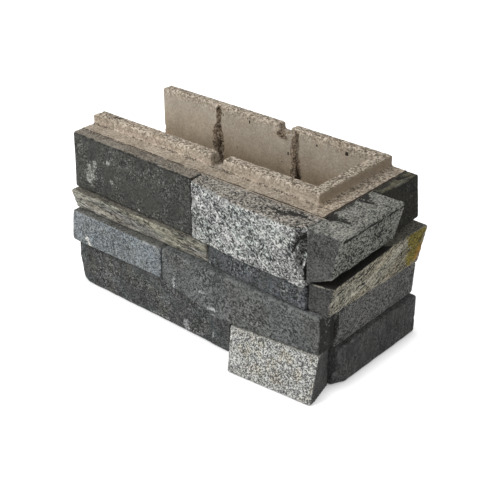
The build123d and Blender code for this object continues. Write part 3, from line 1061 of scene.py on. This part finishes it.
def dark_joints(p, n, up, uneven):
    """Painted shade: dark lines in the gap where the ledge meets the stones and in the crease where it meets
    the tongue.
    """
    x, y, z = p.T
    rim = np.minimum(np.abs(y), np.abs(x - LENGTH) + 200 * (n @ UP < 0.5))
    joint = 0.9 * up * (z > LEDGE - 10) * (1 - ramp(rim + 0.8 * uneven, 0.6, 3.2))
    root = np.hypot(np.maximum(np.abs(y - LEDGE_WIDTH + 1.5) - 0.5, 0), z - LEDGE - 0.5)
    return np.maximum(joint, 0.46 * (1 - ramp(root + 1.2 * uneven, 0.5, 2.5)) * (y > 10))


def tongue_foot(p):
    """The reddish foot of the tongue's front, in places."""
    _, y, z = p.T
    foot = (1 - ramp(z, LEDGE + 3, LEDGE + 11)) * ramp(z, LEDGE - 0.5, LEDGE + 1)
    return foot * (np.abs(y - LEDGE_WIDTH) < 2) * ramp(fractal(p, 30, CORE_NOISE + 50), -0.4, 0.5)


def make_core():
    """The cast core: sandy top, broken scars of its low webs, worn edges, pin holes, and painted shade in
    its hollow, pin holes and joints.
    """
    obj, welded = dense_piece("concrete_core", "cast_core", CORE_VOXEL)
    mesh = obj.data
    p = millimetres(mesh)
    n = normals_of(mesh)
    rng = np.random.default_rng(CORE_SEED)
    edges = sharp_edges(welded, CORE_SHARP)
    welded.free()
    up = ramp(n @ UP, 0.4, 0.8)
    uneven = fractal(p, 7, CORE_NOISE, 3)
    tall = p * np.array((1, 1, 0.55))
    coarse, depth = core_tones(p, n, up, uneven)
    scar, crack = web_scars(p, n, tall)
    height = coarse * 0.3 * fractal(p, 5, CORE_NOISE + 10, 3, 0.7) - 1.5 * crack
    height += scar * 1.8 * fractal(tall, 7, CORE_NOISE + 20, 4, 0.65)
    height += scar * 0.8 * facets(tall, 7, CORE_NOISE + 30)
    p += n * height[:, None]

    worn = np.zeros(len(p))
    chip_edges(p, worn, edges, rng, *CORE_NICKS, worn_edge)
    chip_edges(p, worn, edges, rng, *CORE_CHIPS, worn_edge)
    pin_holes(p, crack, rng)
    for place, radius in OPEN_END_CORNERS:
        scoop(p, np.zeros(len(p)), np.array(place, float), radius)
    crack = np.maximum(crack, dark_joints(p, n, up, uneven))
    mark = tongue_foot(p)
    put_back(mesh, p)
    give(mesh, coarse=coarse, depth=depth, wear=worn, scar=scar, crack=crack, mark=mark)

    thin = obj.modifiers.new("thin", "DECIMATE")
    mesh.calc_loop_triangles()
    thin.ratio = min(1.0, CORE_TRIANGLES / len(mesh.loop_triangles))
    settle(obj)
    finish_piece(obj, "concrete_core", concrete_material())


# Studio

WHITE = (1, 1, 1, 1)
SKY = 0.36
FLOOR_HALF = 6.0
FLOOR_DROP = 0.0004
FLOOR_COLOUR = (0.65, 0.65, 0.65, 1)
FLOOR_GLOW = 0.9
CONTACT_SHADE = 0.018
LIT_MIDDLE = (0, 0, 0.1)
SENSOR, LENS = 36, 78.5
EYE = np.array((954.5, -794.9, 703.4))
LOOK_DOWN, TURN = 28.72, 40.77


def math_node(tree, operation, a, b):
    node = tree.nodes.new("ShaderNodeMath")
    node.operation = operation
    tree.links.new(a, node.inputs[0])
    tree.links.new(b, node.inputs[1])
    return node.outputs[0]


def make_sky():
    """Soft white light all round, which shows as plain white."""
    world = bpy.data.worlds.new("studio")
    bpy.context.scene.world = world
    world.use_nodes = True
    tree = world.node_tree
    tree.nodes.clear()
    path = tree.nodes.new("ShaderNodeLightPath").outputs
    seen = math_node(tree, "MAXIMUM", path["Is Camera Ray"], path["Is Glossy Ray"])
    seen = math_node(tree, "MAXIMUM", seen, path["Is Transmission Ray"])
    sky = tree.nodes.new("ShaderNodeBackground")
    sky.inputs["Color"].default_value = WHITE
    sky.inputs["Strength"].default_value = SKY
    shown = tree.nodes.new("ShaderNodeBackground")
    shown.inputs["Color"].default_value = WHITE
    mixed = tree.nodes.new("ShaderNodeMixShader")
    tree.links.new(seen, mixed.inputs[0])
    tree.links.new(sky.outputs[0], mixed.inputs[1])
    tree.links.new(shown.outputs[0], mixed.inputs[2])
    out = tree.nodes.new("ShaderNodeOutputWorld")
    tree.links.new(mixed.outputs[0], out.inputs[0])


def floor_material():
    """Pale matt floor that glows to white, less so close to the block, which paints a soft contact shadow
    there.
    """
    material = bpy.data.materials.new("pale_floor")
    material.use_nodes = True
    tree = material.node_tree
    shader = tree.nodes["Principled BSDF"]
    shader.inputs["Base Color"].default_value = FLOOR_COLOUR
    shader.inputs["Roughness"].default_value = 0.9
    shader.inputs["Specular IOR Level"].default_value = 0.0
    shader.inputs["Emission Color"].default_value = WHITE
    path = tree.nodes.new("ShaderNodeLightPath").outputs
    # Ambient occlusion dims the glow close to the block: a painted contact shadow.
    close = tree.nodes.new("ShaderNodeAmbientOcclusion")
    close.inputs["Distance"].default_value = CONTACT_SHADE
    shaded_glow = tree.nodes.new("ShaderNodeMath")
    shaded_glow.operation = "MULTIPLY"
    shaded_glow.inputs[1].default_value = FLOOR_GLOW
    tree.links.new(close.outputs["AO"], shaded_glow.inputs[0])
    glow = math_node(tree, "MULTIPLY", path["Is Camera Ray"], shaded_glow.outputs[0])
    tree.links.new(glow, shader.inputs["Emission Strength"])
    return material


def make_floor():
    """Wide floor just under the block."""
    half = FLOOR_HALF
    corners = [(-half, -half, 0), (half, -half, 0), (half, half, 0), (-half, half, 0)]
    mesh = bpy.data.meshes.new("floor")
    mesh.from_pydata(corners, [], [(0, 1, 2, 3)])
    mesh.materials.append(floor_material())
    floor = bpy.data.objects.new("floor", mesh)
    floor.location = (0, 0, -FLOOR_DROP)
    bpy.context.scene.collection.objects.link(floor)


def area_light(name, place, size, watts):
    """Round soft light turned to the middle of the block."""
    data = bpy.data.lights.new(name, "AREA")
    data.shape = "DISK"
    data.size = size
    data.energy = watts
    lamp = bpy.data.objects.new(name, data)
    lamp.location = place
    lamp.rotation_euler = (Vector(LIT_MIDDLE) - Vector(place)).to_track_quat("-Z", "Y").to_euler()
    bpy.context.scene.collection.objects.link(lamp)


def make_camera():
    """The photo's view of the block."""
    camera = bpy.data.cameras.new("camera")
    camera.sensor_width = SENSOR
    camera.lens = LENS
    eye = bpy.data.objects.new("camera", camera)
    eye.location = EYE / METRE + ORIGIN
    eye.rotation_euler = (math.radians(90 - LOOK_DOWN), 0, math.radians(TURN))
    bpy.context.scene.collection.objects.link(eye)
    bpy.context.scene.camera = eye


make_core()
for make_stone in STONES:
    make_stone()
bpy.context.scene.view_settings.view_transform = "Standard"
make_sky()
make_floor()
area_light("key", (-0.9, -1.75, 1.65), 1.6, 50)
area_light("fill", (2.3, -0.5, 0.9), 1.4, 9)
make_camera()
